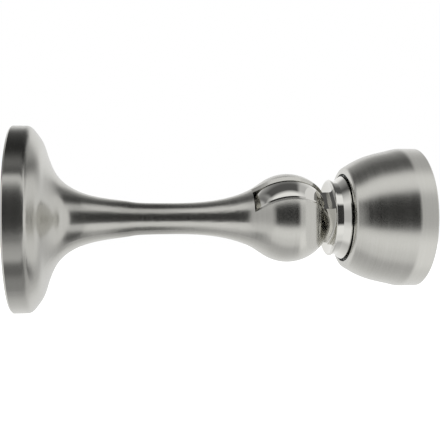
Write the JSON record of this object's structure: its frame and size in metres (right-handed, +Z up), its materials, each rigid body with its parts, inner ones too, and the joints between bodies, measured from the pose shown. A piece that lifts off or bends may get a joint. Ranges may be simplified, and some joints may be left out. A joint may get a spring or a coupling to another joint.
{
  "type": "magnetic door stop",
  "caption": "Wall-mounted magnetic door stop: trumpet base on a slim stem, swivelling strike on a slotted ball knuckle, and a bell cup with the magnet that screws to the door.",
  "frame": {"origin": "centre of the flat back of the base, in the plane of the wall", "axes": "+X runs out from the wall along the stem to the door, +Z is up with the stop on a wall, +Y completes a right-handed set"},
  "size_m": [0.089, 0.04, 0.04],
  "materials": {
    "satin_nickel": "satin nickel plate, brushed round the axis",
    "polished_strike": "mirror polished plate",
    "pin_steel": "ground",
    "zinc_plated_steel": "bright zinc plate",
    "nickel_plated_magnet": "tumbled nickel plate",
    "screw_steel": "bright zinc plate"
  },
  "bodies": {
    "base": {"stem_body": "satin_nickel", "base_plate": "zinc_plated_steel", "base_stud": "screw_steel", "hinge_pin": "pin_steel"},
    "head": {"swivel_strike": "polished_strike"},
    "cup": {"door_cup": "satin_nickel", "magnet_pot": "zinc_plated_steel", "ring_magnet": "nickel_plated_magnet", "cup_screw": "screw_steel", "standoff": "zinc_plated_steel", "door_plate": "zinc_plated_steel"}
  },
  "joints": [
    {"name": "swivel_hinge", "type": "hinge", "parent": "base", "child": "head", "pos_m": [0.05965, 0, 0], "axis": [0, -0.7071, -0.7071], "range_deg": [-90, 90]},
    {"name": "cup_release", "type": "slide", "parent": "head", "child": "cup", "axis": [1, 0, 0], "range_m": [0, 0.03]}
  ]
}
